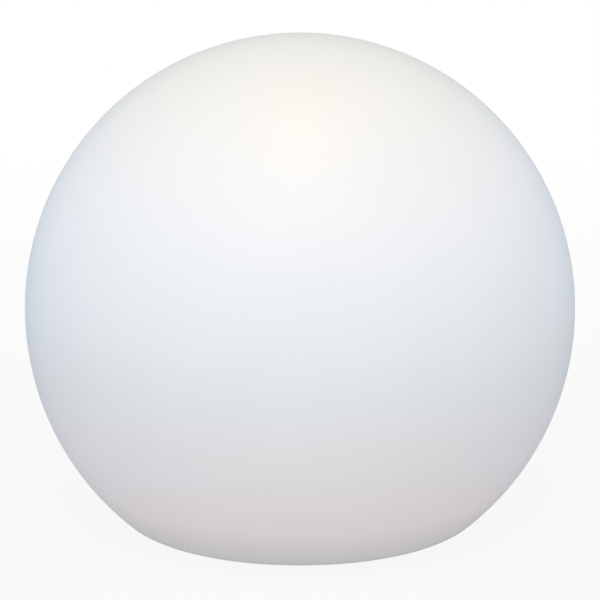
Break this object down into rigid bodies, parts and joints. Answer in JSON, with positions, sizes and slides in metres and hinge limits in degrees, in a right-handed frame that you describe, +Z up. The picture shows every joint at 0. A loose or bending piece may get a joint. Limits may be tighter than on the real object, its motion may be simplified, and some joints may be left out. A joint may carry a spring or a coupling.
{
  "type": "garden globe light",
  "caption": "Round opal garden lamp on a flat base, lit from inside by a twist-out rechargeable module with a push button, a finger dish and a covered charging socket.",
  "frame": {"origin": "middle of the resting plane, under the four foot pads", "axes": "+Z up through the globe's crown, -Y towards the side of the charging door, +Y towards the push button"},
  "size_m": [0.4, 0.3998, 0.3635],
  "materials": {
    "opal_globe": "satin translucent polyethylene, lit from inside",
    "pad_rubber": "matt grey",
    "brass": "plain",
    "seal_rubber": "matt black",
    "ring_plastic": "fine-textured light grey",
    "stainless": "plain stainless",
    "case_plastic": "fine-textured off-white",
    "cover_plastic": "fine-textured light grey",
    "button_rubber": "soft-touch dark grey",
    "door_plastic": "fine-textured dark grey",
    "black_plastic": "moulded black",
    "contact_metal": "plated",
    "board_green": "solder mask",
    "chip_black": "moulded black",
    "coil_copper": "varnished winding",
    "can_aluminium": "drawn can",
    "header_white": "moulded off-white",
    "lamp_clear": "clear",
    "light_pipe": "clear",
    "vent_plastic": "moulded black",
    "film_white": "breathing film",
    "cell_sleeve": "shrink sleeve",
    "holder_black": "moulded black",
    "nickel": "plain nickel",
    "clamp_plastic": "moulded grey",
    "spreader_metal": "milled",
    "pad_grey": "soft grey",
    "board_white": "white solder mask on aluminium",
    "emitter": "phosphor under clear resin",
    "dome_opal": "satin opal, lit from inside",
    "receiver_dark": "dark infrared window",
    "lead_sleeve": "red and black insulation"
  },
  "bodies": {
    "globe": {"globe_shell": "opal_globe", "foot_pads": "pad_rubber", "threaded_inserts": "brass", "ring_gasket": "seal_rubber", "bayonet_ring": "ring_plastic", "ring_screws": "stainless"},
    "light_module": {"module_housing": "case_plastic", "module_seal": "seal_rubber", "base_cover": "cover_plastic", "cover_gasket": "seal_rubber", "cover_screws": "stainless", "push_switch": "black_plastic", "hinge_pin": "stainless", "charge_socket": "black_plastic", "socket_contact": "contact_metal", "socket_gasket": "seal_rubber", "control_board": "board_green", "board_screws": "stainless", "control_chips": "chip_black", "choke_coil": "coil_copper", "smoothing_capacitors": "can_aluminium", "lead_headers": "header_white", "charge_lamp": "lamp_clear", "indicator_lens": "light_pipe", "vent_plug": "vent_plastic", "vent_nut": "vent_plastic", "vent_membrane": "film_white", "battery_cells": "cell_sleeve", "cell_holders": "holder_black", "nickel_strips": "nickel", "battery_clamp": "clamp_plastic", "clamp_screws": "stainless", "heat_spreader": "spreader_metal", "heat_pad": "pad_grey", "light_board": "board_white", "light_board_screws": "stainless", "outer_emitters": "emitter", "inner_emitters": "emitter", "remote_receiver": "receiver_dark", "board_terminal": "header_white", "diffuser_dome": "dome_opal", "dome_gasket": "seal_rubber", "dome_screws": "stainless", "lead_grommet": "seal_rubber", "light_leads": "lead_sleeve", "cell_leads": "lead_sleeve"},
    "button": {"power_button": "button_rubber", "button_seal": "seal_rubber", "switch_plunger": "black_plastic"},
    "door": {"charge_door": "door_plastic", "door_seal": "seal_rubber"}
  },
  "joints": [
    {"name": "module_twist", "type": "hinge", "parent": "globe", "child": "light_module", "pos_m": [0, 0, 0.0105], "axis": [0, 0, -1], "range_deg": [0, 30]},
    {"name": "button_press", "type": "slide", "parent": "light_module", "child": "button", "axis": [0, 0, 1], "range_m": [0, 0.001], "stiffness_N_per_m": 1500, "springref_m": -0.001},
    {"name": "door_open", "type": "hinge", "parent": "light_module", "child": "door", "pos_m": [0, -0.04724, 0.0051], "axis": [-1, 0, 0], "range_deg": [0, 95]}
  ]
}
